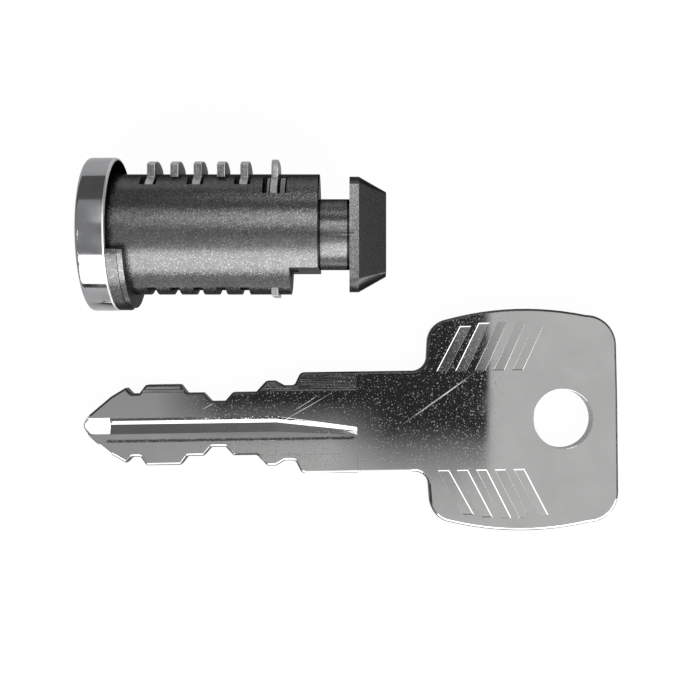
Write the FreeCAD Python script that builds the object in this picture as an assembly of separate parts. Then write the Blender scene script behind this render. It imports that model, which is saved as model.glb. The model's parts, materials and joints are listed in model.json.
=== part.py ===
"""Lock cylinder of the disc-tumbler kind, with its flat key beside it, in millimetres.

The frame: X runs along the lock's axis from the face cap (-X) to the tail (+X), with X = 0 at the
cap's rear rim. Y is the way the wafers stand out of the body. Z is up, square to the surface that
both pieces lie on, so Z = -cap_radius is that surface. The lock's axis is the line Y = Z = 0.
"""

import FreeCAD
import Part
import math
import os

from FreeCAD import Vector

# Face cap: a bright pressed cup over the head of the plug
cap_radius = 8.25
cap_length = 3.07
cap_wall = 0.25
cap_edge_round = 0.4
crimp_width = 1.3
crimp_length = 0.45
crimp_depth = 0.3
crimp_gap = 0.02
crimp_angles = (-75, -30, 30, 75)

# Plug: one die casting with the head, the stops, the body, the neck and the tail
plug_radius = 6.5
plug_length = 21.66
head_clearance = 0.1
head_thickness = 1.35
stop_lug_length = 1.12
stop_lug_step = 0.05
stop_end_drop = 2.24
collar_length = 0.54
collar_step = 0.25
rear_notch_length = 3.09
rear_notch_flat = 3.93
neck_radius = 3.84
neck_length = 3.2
tail_radius = 6.25
tail_half_flat = 3.8
tail_straight_length = 1.0
tail_taper_length = 2.93
tail_end_radius = 4.6
tail_end_half_flat = 2.02

# Wafers: five flat plates with a window each, pushed out by a small coil spring on one side
wafer_count = 5
first_wafer_x = 3.77
wafer_pitch = 2.48
wafer_thickness = 0.86
wafer_half_width = 2.72
wafer_rise = 1.38
wafer_side_play = 0.05
wafer_ear_reach = 4.25
wafer_ear_height = 1.15
window_half_width = 1.32
window_corner_round = 0.3
ear_skin_drop = 0.06
pocket_front_room = 0.54
pocket_rear_room = 0.35
pocket_floor = 2.6
pocket_end_play = 0.08

# Wafer springs
spring_radius = 0.52
spring_wire_radius = 0.08
spring_turns = 9
spring_seat_gap = 0.05

# Retaining wafer and its leaf spring near the rear
retainer_gap = 3.24
retainer_thickness = 0.72
retainer_heel = 6.75
retainer_ear_reach = 5.2
retainer_ear_height = 1.2
retainer_crown_round = 1.1
retainer_pocket_front = 1.19
retainer_pocket_rear = 1.37
retainer_pocket_floor = 0.3
leaf_thickness = 0.24
leaf_leg_gap = 0.1
leaf_side_play = 0.12

# Key
blade_length = 25.03
key_thickness = 2.3
shank_half = 5.75
deep_cut = 2.6
middle_cut = 3.6
high_cut = 4.6
guide_bump = 4.85
guide_valley = 4.28
peak_half = 4.3
tip_half = 0.35
bow_start = 12.6
bow_end = 36.2
bow_half = 12.65
ring_hole_x = 29.95
ring_hole_radius = 3.38
cut_corner_round = 0.3
shoulder_round = 0.6
channel_depth = 0.6
channel_step = 0.07
channel_high = 0.83
channel_bottom = 0.09
channel_foot = -0.95
channel_low = -1.92
channel_run_out = -2.9
channel_end = 6.4
channel_end_depth = 0.25
channel_end_high = -0.56
channel_end_bottom = -1.0
channel_end_foot = -1.45
channel_end_low = -1.7
tip_ramp_length = 3.2
tip_ramp_drop = 0.2
band_start = -6.0
band_edges = (3.64, 4.3, 4.9)
band_depths = (0.1, 0.2, 0.35)
bump_band_start = -18.8
bump_band_end = -12.4
bump_band_edges = (3.74, 4.1)
grip_bar_count = 5
grip_bar_width = 1.05
grip_bar_depth = 0.12
grip_bar_pitch = 2.15
grip_bar_start = 3.65
grip_bar_slant = 2.65
grip_bar_inner = 5.75
grip_bar_margin = 1.45

# Where the key lies beside the lock
key_shoulder_x = 19.31
key_shoulder_y = -20.84
key_turn_deg = 0.85

# Keyway and dust shutter
keyway_play = 0.1
keyway_drop = 0.8
keyway_tip_room = 0.3
keyway_mouth_length = 4.4
keyway_mouth_step = 0.3
keyway_taper_length = 4.7
keyway_end_play = 0.55
shutter_thickness = 0.4
shutter_front_gap = 0.07
shutter_play = 0.1
shutter_pin_radius = 0.3
shutter_barrel_wall = 0.2
shutter_pin_play = 0.03
shutter_overlap = 0.15
shutter_swing_room = 0.06
shutter_spring_turns = 3
shutter_spring_wire = 0.07
shutter_spring_gap = 0.62
pin_seat = 0.7

# Sizes that follow from the ones above
cap_inside_radius = cap_radius - cap_wall
cap_inside_x = -cap_length + cap_wall
head_radius = cap_inside_radius - head_clearance
head_rear_x = cap_inside_x + head_thickness
stop_lug_radius = cap_radius - stop_lug_step
collar_radius = stop_lug_radius - collar_step
neck_end_x = plug_length + neck_length
tail_taper_x = neck_end_x + tail_straight_length
tail_end_x = tail_taper_x + tail_taper_length
wafer_half_length = plug_radius
wafer_travel = wafer_rise + high_cut - deep_cut
retainer_x = first_wafer_x + (wafer_count - 1) * wafer_pitch + retainer_gap
window_half_height = high_cut + keyway_play
keyway_half_width = key_thickness / 2 + keyway_play
keyway_mouth_half = guide_bump + keyway_play
blade_tip_x = -cap_length + blade_length
floor_z = -cap_radius

FORWARD = Vector(1, 0, 0)
REACH = 4 * cap_radius


def rod(radius, x0, x1, y=0.0, z=0.0):
    return Part.makeCylinder(radius, x1 - x0, Vector(x0, y, z), FORWARD)


def block(x0, x1, y0, y1, z0, z1):
    return Part.makeBox(x1 - x0, y1 - y0, z1 - z0, Vector(x0, y0, z0))


def slab_z(points, z0, z1):
    """A plate square to Z from (x, y) corners."""
    corners = [Vector(x, y, z0) for x, y in points]
    face = Part.Face(Part.makePolygon(corners + [corners[0]]))
    return face.extrude(Vector(0, 0, z1 - z0))


def rounded(shape, radius, test):
    """Rounds the edges that the test picks."""
    edges = [e for e in shape.Edges if test(e)]
    return shape.makeFillet(radius, edges)


def save(shape, name):
    solids = shape.Solids
    result = solids[0] if len(solids) == 1 else Part.makeCompound(solids)
    result.exportStep("parts/" + name + ".step")
    print(name, "solids", len(solids), "volume", round(result.Volume, 3), "valid", result.isValid())


def arc_between(start, corner, end):
    """The circular arc from start to end whose two tangents meet at the corner."""
    half = (end - start).Length / 2
    arm = (corner - start).Length
    weight = half / arm
    middle = (start + corner * (2 * weight) + end) * (1 / (2 + 2 * weight))
    return Part.Arc(start, middle, end).toShape()


def biarc(p0, t0, p1, t1):
    """Two arcs that leave p0 along t0 and reach p1 along t1."""
    chord = p1 - p0
    both = t0 + t1
    spread = 2 * (1 - t0.dot(t1))
    along = chord.dot(both)
    arm = (math.sqrt(along * along + spread * chord.dot(chord)) - along) / spread
    q0 = p0 + t0 * arm
    q1 = p1 - t1 * arm
    meet = (q0 + q1) * 0.5
    return [arc_between(p0, q0, meet), arc_between(meet, q1, p1)]


def helix_point(base, axis_u, axis_v, axis_w, radius, pitch, angle):
    place = base + axis_u * (radius * math.cos(angle)) + axis_v * (radius * math.sin(angle))
    place = place + axis_w * (pitch * angle / (2 * math.pi))
    way = axis_v * math.cos(angle) - axis_u * math.sin(angle)
    way = way * radius + axis_w * (pitch / (2 * math.pi))
    return place, way.normalize()


def coil(base, axis_u, axis_v, axis_w, radius, pitch, turns, wire, name):
    """A coil spring as one unbroken tube on quarter-turn biarcs."""
    quarter = math.pi / 2
    edges = []
    for k in range(4 * turns):
        p0, t0 = helix_point(base, axis_u, axis_v, axis_w, radius, pitch, k * quarter)
        p1, t1 = helix_point(base, axis_u, axis_v, axis_w, radius, pitch, (k + 1) * quarter)
        edges = edges + biarc(p0, t0, p1, t1)
    path = Part.Wire(edges)
    start, way = helix_point(base, axis_u, axis_v, axis_w, radius, pitch, 0.0)
    section = Part.Wire(Part.makeCircle(wire, start, way))
    tube = path.makePipeShell([section], True, False)
    steps = 24
    points = []
    for k in range(steps * turns + 1):
        points.append(helix_point(base, axis_u, axis_v, axis_w, radius, pitch, 2 * math.pi * k / steps)[0])
    apart = steps // 2
    least = min(
        (points[i] - points[j]).Length
        for i in range(len(points))
        for j in range(i + apart, min(i + 2 * steps, len(points)))
    )
    print(name, "least gap between curls", round(least - 2 * wire, 3))
    return tube


def key_outline_half():
    """The upper half of the key's outline as (x, half-height) points, from the tip to the shank."""
    return [
        (-blade_length, tip_half),
        (-blade_length + 0.85, 1.25),
        (-21.7, 3.29),
        (-20.0, peak_half),
        (-19.35, middle_cut),
        (-18.4, middle_cut),
        (-17.7, high_cut),
        (-13.75, high_cut),
        (-13.0, middle_cut),
        (-11.15, middle_cut),
        (-10.25, deep_cut),
        (-8.65, deep_cut),
        (-7.75, middle_cut),
        (-5.1, middle_cut),
        (-3.9, guide_bump),
        (-2.9, guide_bump),
        (-1.9, guide_valley),
        (-0.7, guide_valley),
        (0.0, shank_half),
    ]


def keyway():
    """The room that the blade needs inside the plug, narrower toward the blade's tip."""
    tip_x = blade_tip_x + keyway_tip_room
    mouth_end = -cap_length + keyway_mouth_length
    inner = window_half_height
    full_end = blade_tip_x - keyway_taper_length
    end_half = tip_half + keyway_end_play
    upper = [
        (-REACH, keyway_mouth_half),
        (mouth_end, keyway_mouth_half),
        (mouth_end + keyway_mouth_step, inner),
        (full_end, inner),
        (tip_x, end_half),
    ]
    lower = [(x, -y) for x, y in reversed(upper)]
    points = [(x, y - keyway_drop) for x, y in upper + lower]
    return slab_z(points, -keyway_half_width, keyway_half_width)


def shutter_sizes():
    barrel = shutter_pin_radius + shutter_pin_play + shutter_barrel_wall
    pin_x = cap_inside_x + shutter_front_gap + barrel
    pin_z = keyway_half_width + barrel
    top = keyway_mouth_half - keyway_drop + shutter_overlap
    bottom = -keyway_mouth_half - keyway_drop - shutter_overlap
    free_z = -keyway_half_width - shutter_overlap
    return barrel, pin_x, pin_z, top, bottom, free_z


def wafer_side(number):
    """The ear of odd wafers points up (+Z), the ear of even wafers points down (-Z)."""
    return 1 if number % 2 else -1


def wafer_x(number):
    return first_wafer_x + (number - 1) * wafer_pitch


def window_bottom(number):
    cuts = [middle_cut, deep_cut, middle_cut, high_cut, high_cut]
    cut = cuts[(number - 1) % len(cuts)]
    return -cut - keyway_drop + wafer_rise


def make_wafer(number):
    x0 = wafer_x(number) - wafer_thickness / 2
    x1 = wafer_x(number) + wafer_thickness / 2
    plate = block(x0, x1, -REACH, REACH, -wafer_half_width, wafer_half_width)
    plate = plate.common(rod(wafer_half_length, x0, x1, wafer_rise))
    side = wafer_side(number)
    ear_low = math.sqrt(plug_radius ** 2 - wafer_ear_reach ** 2) - wafer_ear_height
    z_in = wafer_half_width - 0.4
    z_out = wafer_ear_reach
    ear = block(x0, x1, ear_low, REACH, min(side * z_in, side * z_out), max(side * z_in, side * z_out))
    ear = ear.common(rod(plug_radius - ear_skin_drop, x0, x1))
    plate = plate.fuse(ear).removeSplitter()
    low = window_bottom(number)
    window = block(x0 - 1, x1 + 1, low, low + 2 * window_half_height, -window_half_width, window_half_width)
    window = rounded(window, window_corner_round, lambda e: abs(e.BoundBox.XLength - wafer_thickness - 2) < 1e-6)
    return plate.cut(window)


def ear_underside(reach, height):
    return math.sqrt(plug_radius ** 2 - reach ** 2) - height


def spring_place():
    z_mid = (wafer_half_width + wafer_ear_reach + pocket_end_play) / 2
    top = ear_underside(wafer_ear_reach, wafer_ear_height) - spring_seat_gap - spring_wire_radius
    bottom = -pocket_floor + spring_seat_gap + spring_wire_radius
    return z_mid, top, bottom


def make_wafer_spring(number):
    z_mid, top, bottom = spring_place()
    base = Vector(wafer_x(number), bottom, wafer_side(number) * (z_mid + 0.12))
    pitch = (top - bottom) / spring_turns
    name = "wafer_spring_" + str(number)
    return coil(base, Vector(0, 0, 1), FORWARD, Vector(0, 1, 0), spring_radius, pitch, spring_turns,
                spring_wire_radius, name)


def make_retainer():
    x0 = retainer_x - retainer_thickness / 2
    x1 = retainer_x + retainer_thickness / 2
    top = wafer_half_length + wafer_rise
    plate = block(x0, x1, -retainer_heel, top, -wafer_half_width, wafer_half_width)
    plate = rounded(
        plate,
        retainer_crown_round,
        lambda e: abs(e.BoundBox.XLength - retainer_thickness) < 1e-6 and e.BoundBox.YMin > 0,
    )
    ear_low = ear_underside(retainer_ear_reach, retainer_ear_height)
    ear = block(x0, x1, ear_low, REACH, wafer_half_width - 0.4, retainer_ear_reach)
    ear = ear.common(rod(plug_radius - ear_skin_drop, x0, x1))
    plate = plate.fuse(ear).removeSplitter()
    low = -keyway_drop - window_half_height
    high = low + 2 * window_half_height + wafer_rise
    window = block(x0 - 1, x1 + 1, low, high, -window_half_width, window_half_width)
    window = rounded(window, window_corner_round, lambda e: abs(e.BoundBox.XLength - retainer_thickness - 2) < 1e-6)
    return plate.cut(window)


def make_retainer_spring():
    """A strip folded to a U: its legs stand beside the ear and its crown carries the ear."""
    x_front = retainer_x - retainer_thickness / 2 - leaf_leg_gap - leaf_thickness
    x_rear = retainer_x + retainer_thickness / 2 + 3.4 * leaf_leg_gap
    floor = retainer_pocket_floor + 0.02
    z0 = wafer_half_width + leaf_side_play
    z1 = retainer_ear_reach
    skin = rod(plug_radius - 2 * ear_skin_drop, x_front - 1, x_rear + 2)
    front = block(x_front, x_front + leaf_thickness, floor, REACH, z0, z1).common(skin)
    rear = block(x_rear, x_rear + 2 * leaf_thickness, floor, REACH, z0, z1).common(skin)
    bridge = block(x_front, x_rear + 2 * leaf_thickness, floor, floor + leaf_thickness, z0, z1)
    crown_top = ear_underside(retainer_ear_reach, retainer_ear_height) - spring_seat_gap
    inner0 = x_front + leaf_thickness + leaf_leg_gap
    inner1 = x_rear - leaf_leg_gap
    middle = (inner0 + inner1) / 2
    half = leaf_thickness / 2
    crown = plate_between(
        [(inner0, floor + half), (middle, crown_top), (inner1, floor + half)], half, z0, z1
    )
    return front.fuse([rear, bridge, crown]).removeSplitter()


def plate_between(points, half, z0, z1):
    """A bent strip, an inverted V of the given half thickness, along Z."""
    (xa, ya), (xm, ym), (xb, yb) = points
    slope = 2.2 * half
    outline = [
        (xa - half, ya),
        (xm - half, ym),
        (xm + half, ym),
        (xb + half, yb),
        (xb - half, yb),
        (xm, ym - slope),
        (xa + half, ya),
    ]
    return slab_z(outline, z0, z1)


def make_plug():
    head = rod(head_radius, cap_inside_x, head_rear_x)
    body = rod(plug_radius, head_rear_x - 0.1, plug_length)
    notch = block(plug_length - rear_notch_length, plug_length + 1, -REACH, -rear_notch_flat, -REACH, REACH)
    neck = rod(neck_radius, plug_length - 1, neck_end_x + 0.5)
    below = block(-REACH, REACH, -REACH, -stop_end_drop, -REACH, REACH)
    inner_stop = rod(head_radius, head_rear_x - 0.1, 0).common(below)
    lug = rod(stop_lug_radius, 0, stop_lug_length).common(below)
    collar = rod(collar_radius, stop_lug_length - 0.1, stop_lug_length + collar_length).common(below)
    plug = body.cut(notch).fuse([head, inner_stop, lug, collar, neck, make_tail()])
    plug = plug.removeSplitter()
    plug = plug.cut(keyway())
    for number in range(1, wafer_count + 1):
        plug = plug.cut(wafer_room(number))
    plug = plug.cut(retainer_room())
    return plug.cut(shutter_room()).removeSplitter()


def make_tail():
    straight = rod(tail_radius, neck_end_x, tail_taper_x)
    taper = Part.makeCone(tail_radius, tail_end_radius, tail_taper_length, Vector(tail_taper_x, 0, 0), FORWARD)
    side = [
        (neck_end_x, -tail_half_flat),
        (tail_taper_x, -tail_half_flat),
        (tail_end_x, -tail_end_half_flat),
        (tail_end_x, tail_end_half_flat),
        (tail_taper_x, tail_half_flat),
        (neck_end_x, tail_half_flat),
    ]
    corners = [Vector(x, -REACH, z) for x, z in side]
    face = Part.Face(Part.makePolygon(corners + [corners[0]]))
    wedge = face.extrude(Vector(0, 2 * REACH, 0))
    return straight.fuse(taper).common(wedge)


def wafer_room(number):
    """The slot that the wafer slides in, and the pocket for its ear and spring."""
    x = wafer_x(number)
    half = wafer_thickness / 2 + wafer_side_play
    side = wafer_side(number)
    z_slot = wafer_half_width + wafer_side_play
    slot = block(x - half, x + half, -REACH, REACH, -z_slot, z_slot)
    z_in = wafer_half_width - 0.2
    z_out = wafer_ear_reach + pocket_end_play
    front = x - wafer_thickness / 2 - pocket_front_room
    rear = x + wafer_thickness / 2 + pocket_rear_room
    pocket = block(front, rear, -pocket_floor, REACH, min(side * z_in, side * z_out), max(side * z_in, side * z_out))
    return slot.fuse(pocket)


def retainer_room():
    half = retainer_thickness / 2 + wafer_side_play
    z_slot = wafer_half_width + wafer_side_play
    slot = block(retainer_x - half, retainer_x + half, -REACH, REACH, -z_slot, z_slot)
    z_out = retainer_ear_reach + pocket_end_play
    front = retainer_x - retainer_pocket_front
    rear = retainer_x + retainer_pocket_rear
    pocket = block(front, rear, retainer_pocket_floor, REACH, wafer_half_width - 0.2, z_out)
    return slot.fuse(pocket)


def shutter_room():
    """The pocket in the head where the flap hangs closed, swings and lies open."""
    barrel, pin_x, pin_z, top, bottom, free_z = shutter_sizes()
    play = shutter_play
    swing = math.hypot(pin_z - free_z, barrel) + shutter_swing_room
    hang_end = pin_x + math.sqrt(swing ** 2 - pin_z ** 2) + play
    hang = block(cap_inside_x - 1, hang_end, bottom - play, top + play, free_z - play, 0)
    open_side = block(cap_inside_x - 1, pin_x + swing, bottom - play, top + play, 0, pin_z + 0.1)
    barrel_side = block(cap_inside_x - 1, pin_x + barrel + play, bottom - play, top + play, 0, pin_z + barrel + play)
    pin_low, pin_high = pin_span()
    bore = Part.makeCylinder(shutter_pin_radius, pin_high - pin_low, Vector(pin_x, pin_low, pin_z), Vector(0, 1, 0))
    mouth = block(cap_inside_x - 1, pin_x, pin_low, pin_high, pin_z - shutter_pin_radius, pin_z + shutter_pin_radius)
    return hang.fuse([open_side, barrel_side, bore, mouth])


def pin_span():
    barrel, pin_x, pin_z, top, bottom, free_z = shutter_sizes()
    return bottom - shutter_play - pin_seat, top + shutter_play + pin_seat


def make_shutter():
    barrel, pin_x, pin_z, top, bottom, free_z = shutter_sizes()
    spring_room = shutter_spring_room()
    x0 = pin_x - barrel
    flap = block(x0, x0 + shutter_thickness, bottom, top, free_z, pin_z)
    tube = Part.makeCylinder(barrel, top - spring_room - bottom, Vector(pin_x, bottom, pin_z), Vector(0, 1, 0))
    room = block(x0 - 1, x0 + 2, top - spring_room, top + 1, pin_z - barrel - 0.35, pin_z + barrel)
    bore = Part.makeCylinder(
        shutter_pin_radius + shutter_pin_play, 2 * REACH, Vector(pin_x, -REACH, pin_z), Vector(0, 1, 0)
    )
    return flap.fuse(tube).cut(room).cut(bore).removeSplitter()


def shutter_spring_room():
    return shutter_spring_turns * shutter_spring_gap + 2 * shutter_spring_wire + 0.2


def make_shutter_pin():
    barrel, pin_x, pin_z, top, bottom, free_z = shutter_sizes()
    low, high = pin_span()
    return Part.makeCylinder(shutter_pin_radius, high - low, Vector(pin_x, low, pin_z), Vector(0, 1, 0))


def make_shutter_spring():
    barrel, pin_x, pin_z, top, bottom, free_z = shutter_sizes()
    radius = shutter_pin_radius + 0.06 + shutter_spring_wire
    base = Vector(pin_x, top + shutter_spring_wire - shutter_spring_room() + 0.1, pin_z)
    return coil(base, Vector(0, 0, 1), FORWARD, Vector(0, 1, 0), radius, shutter_spring_gap,
                shutter_spring_turns, shutter_spring_wire, "shutter_spring")


def make_cap():
    outer = rod(cap_radius, -cap_length, 0)
    outer = rounded(outer, cap_edge_round, lambda e: e.BoundBox.XMax < -cap_length + 1e-6)
    inner = rod(cap_inside_radius, cap_inside_x, 1)
    slot = block(
        -cap_length - 1,
        cap_inside_x + 1,
        -keyway_mouth_half - keyway_drop,
        keyway_mouth_half - keyway_drop,
        -keyway_half_width,
        keyway_half_width,
    )
    cup = outer.cut(inner).cut(slot)
    for angle in crimp_angles:
        start = head_rear_x + crimp_gap
        tab = block(start, start + crimp_length, cap_inside_radius - crimp_depth, cap_inside_radius + cap_wall / 2,
                    -crimp_width / 2, crimp_width / 2)
        tab = tab.common(rod(cap_inside_radius + cap_wall / 2, start, start + crimp_length))
        tab.rotate(Vector(0, 0, 0), FORWARD, angle)
        cup = cup.fuse(tab)
    return cup.removeSplitter()


def make_key():
    thick = key_thickness
    upper = key_outline_half()
    start = Vector(*upper[0], 0)
    edges = []
    last = start
    for x, y in upper[1:] + [(bow_start, shank_half)]:
        nxt = Vector(x, y, 0)
        edges.append(Part.LineSegment(last, nxt).toShape())
        last = nxt
    # Bow outline as (kind, points): a throat, a near corner, a long crown and a far corner
    throat = Vector(bow_start + 1.9, shank_half + 1.7, 0)
    edges.append(Part.Arc(last, Vector(bow_start + 1.42, shank_half + 0.5, 0), throat).toShape())
    rise = Vector(bow_start + 2.0, bow_half - 3.55, 0)
    edges.append(Part.LineSegment(throat, rise).toShape())
    shoulder = Vector(bow_start + 4.3, bow_half - 1.05, 0)
    edges.append(Part.Arc(rise, Vector(bow_start + 2.75, bow_half - 1.85, 0), shoulder).toShape())
    far = Vector(bow_end - 3.5, bow_half - 0.8, 0)
    edges.append(Part.Arc(shoulder, Vector(bow_start + 11.9, bow_half, 0), far).toShape())
    side = Vector(bow_end - 0.05, bow_half - 4.2, 0)
    edges.append(Part.Arc(far, Vector(bow_end - 0.95, bow_half - 1.95, 0), side).toShape())
    side_mid = Vector(bow_end, 0, 0)
    mirror = [e.mirror(Vector(0, 0, 0), Vector(0, 1, 0)) for e in edges]
    end_arc = Part.Arc(side, side_mid, Vector(side.x, -side.y, 0)).toShape()
    tip = Part.LineSegment(start, Vector(start.x, -start.y, 0)).toShape()
    wire = Part.Wire(Part.__sortEdges__(edges + mirror + [end_arc, tip]))
    blank = Part.Face(wire).extrude(Vector(0, 0, thick))
    blank = soften_cuts(blank)
    hole = Part.makeCylinder(ring_hole_radius, 3 * thick, Vector(ring_hole_x, 0, -thick))
    blank = blank.cut(hole)
    cuts = channel_cuts(thick) + band_cuts(thick) + grip_bars(thick)
    other = []
    for cut in cuts:
        turned = cut.copy()
        turned.rotate(Vector(0, 0, thick / 2), FORWARD, 180)
        other.append(turned)
    for cut in cuts + other:
        blank = blank.cut(cut)
    blank = blank.removeSplitter()
    blank.rotate(Vector(0, 0, 0), Vector(0, 0, 1), key_turn_deg)
    blank.translate(Vector(key_shoulder_x, key_shoulder_y, floor_z))
    return blank


def soften_cuts(blank):
    """Rounds the corners that the cutter left along the blade; the first peak stays sharp."""

    def upright(edge, x0, x1):
        box = edge.BoundBox
        return box.ZLength > 0.99 * key_thickness and x0 < box.XMin < x1

    nose = -blade_length + 0.1
    blank = rounded(blank, shoulder_round, lambda e: upright(e, -blade_length - 1, nose) or upright(e, -0.8, 0.1))
    return rounded(blank, cut_corner_round, lambda e: upright(e, -19.5, -1.5) and abs(e.BoundBox.YMin) > 1)


def channel_section(x, corners, thick):
    """A section of the groove from (y, depth) corners."""
    points = [Vector(x, y, thick - depth) for y, depth in corners]
    return Part.makePolygon(points + [points[0]])


def channel_cuts(thick):
    """The long groove of the blade, its shallow step below, its run-out, and a ramp at the tip."""
    above = -0.01
    main = [
        (channel_high, above),
        (channel_bottom, channel_depth),
        (channel_foot, channel_step),
        (channel_low, channel_step),
        (channel_low, above),
    ]
    end = [
        (channel_end_high, above),
        (channel_end_bottom, channel_end_depth),
        (channel_end_foot, channel_step),
        (channel_end_low, channel_step),
        (channel_end_low, above),
    ]
    beyond = -blade_length - 1
    ramp_end = -blade_length + tip_ramp_length
    deepest = channel_depth + tip_ramp_drop * (ramp_end - beyond) / tip_ramp_length
    pocket = [(channel_high, above), (channel_foot, above)]
    runs = [
        [channel_section(beyond, main, thick), channel_section(channel_run_out, main, thick)],
        [channel_section(channel_run_out, main, thick), channel_section(channel_end, end, thick)],
        [
            channel_section(beyond, pocket + [(channel_foot, deepest), (channel_high, deepest)], thick),
            channel_section(ramp_end, pocket + [(channel_foot, channel_depth), (channel_high, channel_depth)], thick),
        ],
    ]
    return [Part.makeLoft(run, True, True) for run in runs]


def band_cuts(thick):
    """Shallow milled steps along the blade: three toward its upper edge and one toward its lower."""
    spans = [(band_start, channel_end, low, REACH, depth) for low, depth in zip(band_edges, band_depths)]
    spans += [(bump_band_start, bump_band_end, low, REACH, depth) for low, depth in zip(bump_band_edges, band_depths)]
    spans += [(band_start, channel_end, -REACH, -band_edges[0], band_depths[0])]
    return [block(x0, x1, y0, y1, thick - depth, thick + 1) for x0, x1, y0, y1, depth in spans]


def grip_bars(thick):
    """Slanted bars pressed into the bow's face, a row above and a row below the middle."""
    bars = []
    half = grip_bar_width / 2
    for row in (1, -1):
        for k in range(grip_bar_count):
            x_in = bow_start + grip_bar_start + k * grip_bar_pitch
            x_out = x_in + grip_bar_slant
            y_out = bow_half - grip_bar_margin - 0.017 * (x_out - 24.5) ** 2
            corners = [(x_in - half, grip_bar_inner), (x_in + half, grip_bar_inner), (x_out + half, y_out),
                       (x_out - half, y_out)]
            bars.append(slab_z([(x, row * y) for x, y in corners], thick - grip_bar_depth, thick + 1))
    return bars


os.makedirs("parts", exist_ok=True)
save(make_plug(), "plug_body")
save(make_cap(), "face_cap")
save(make_shutter(), "dust_shutter")
save(make_shutter_pin(), "shutter_pin")
save(make_shutter_spring(), "shutter_spring")
for n in range(1, wafer_count + 1):
    save(make_wafer(n), "wafer_" + str(n))
    save(make_wafer_spring(n), "wafer_spring_" + str(n))
save(make_retainer(), "retainer_wafer")
save(make_retainer_spring(), "retainer_spring")
save(make_key(), "key")
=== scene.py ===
# %% [markdown]
# # A disc-tumbler lock cylinder and its key
#
# The subject is small hardware: a die-cast plug about 13 mm across, a bright pressed cap, stamped
# wafers that stand out of the body, and a flat nickel-plated key on the same white surface. The exact
# solids come in as a fixed frame, in metres. This lesson gives them worn edges, real metal finishes
# and the studio light that such a picture is taken in.

import json
import math

import bmesh
import bpy
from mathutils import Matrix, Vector

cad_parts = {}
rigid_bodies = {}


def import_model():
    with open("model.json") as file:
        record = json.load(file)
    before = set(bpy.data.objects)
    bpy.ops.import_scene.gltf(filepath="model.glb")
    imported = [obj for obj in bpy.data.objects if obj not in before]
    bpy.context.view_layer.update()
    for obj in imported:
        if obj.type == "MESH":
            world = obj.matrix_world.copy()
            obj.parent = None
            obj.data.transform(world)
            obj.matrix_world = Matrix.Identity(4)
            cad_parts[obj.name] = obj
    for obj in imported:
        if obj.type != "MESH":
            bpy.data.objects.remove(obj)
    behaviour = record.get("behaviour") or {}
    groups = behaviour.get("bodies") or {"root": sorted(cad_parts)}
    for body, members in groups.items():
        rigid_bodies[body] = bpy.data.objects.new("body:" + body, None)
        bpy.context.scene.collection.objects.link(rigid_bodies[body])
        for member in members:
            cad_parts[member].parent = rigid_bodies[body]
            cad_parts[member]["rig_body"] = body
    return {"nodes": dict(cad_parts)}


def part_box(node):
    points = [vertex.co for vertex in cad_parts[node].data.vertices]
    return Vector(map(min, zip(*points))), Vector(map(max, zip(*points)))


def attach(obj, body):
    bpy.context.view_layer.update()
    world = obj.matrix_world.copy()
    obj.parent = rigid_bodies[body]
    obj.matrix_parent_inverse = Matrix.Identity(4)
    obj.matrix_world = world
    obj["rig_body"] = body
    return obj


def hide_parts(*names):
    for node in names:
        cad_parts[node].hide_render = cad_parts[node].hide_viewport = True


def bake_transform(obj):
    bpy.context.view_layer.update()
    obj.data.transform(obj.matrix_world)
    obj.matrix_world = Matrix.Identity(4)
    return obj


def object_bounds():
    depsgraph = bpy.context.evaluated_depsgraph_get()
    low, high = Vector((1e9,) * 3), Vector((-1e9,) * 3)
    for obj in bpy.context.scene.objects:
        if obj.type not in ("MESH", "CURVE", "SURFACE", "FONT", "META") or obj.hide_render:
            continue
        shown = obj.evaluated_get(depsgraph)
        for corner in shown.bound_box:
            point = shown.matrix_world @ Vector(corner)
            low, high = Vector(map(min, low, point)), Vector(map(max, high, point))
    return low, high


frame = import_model()
cad_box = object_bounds()
cad_nodes = frame["nodes"]
MM = 0.001
print("solids", len(cad_nodes), "box in mm", [[round(v / MM, 2) for v in corner] for corner in cad_box])

# %% [markdown]
# ## Colours and shader nodes
#
# Colours are written as sRGB hex values, the way a swatch is read off a picture, and one function
# turns them to the linear values that the shader works in. A second small function adds a node,
# fills in its settings and joins its links, so that each finish below reads as a short recipe.


# %% Colour and node helpers
def linear(code):
    """An sRGB hex value as linear red, green, blue and alpha."""
    channels = [int(code[i : i + 2], 16) / 255 for i in (1, 3, 5)]
    return [c / 12.92 if c <= 0.04045 else ((c + 0.055) / 1.055) ** 2.4 for c in channels] + [1.0]


def add(tree, kind, settings=None, links=None):
    """Adds a node. A setting that names an input fills it, any other is set on the node."""
    node = tree.nodes.new(kind)
    for key, value in (settings or {}).items():
        if hasattr(node, key) and key not in ("color", "name"):
            setattr(node, key, value)
        else:
            node.inputs[key].default_value = value
    for key, source in (links or {}).items():
        tree.links.new(source, node.inputs[key])
    return node


def ramp(tree, source, stops):
    """A colour ramp through (place, grey or colour) stops."""
    node = add(tree, "ShaderNodeValToRGB", links={0: source})
    band = node.color_ramp
    while len(band.elements) < len(stops):
        band.elements.new(0.5)
    for element, (place, colour) in zip(band.elements, stops):
        element.position = place
        element.color = colour if isinstance(colour, list) else [colour, colour, colour, 1.0]
    return node.outputs["Color"]


def rise(tree, value, start, end):
    """0 up to the start, 1 from the end on, and a straight slope between them."""
    limits = {"From Min": start, "From Max": end}
    return add(tree, "ShaderNodeMapRange", limits, {"Value": value}).outputs["Result"]


def product(tree, first, second):
    """Two values multiplied."""
    return add(tree, "ShaderNodeMath", {"operation": "MULTIPLY"}, {0: first, 1: second}).outputs[0]


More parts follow.
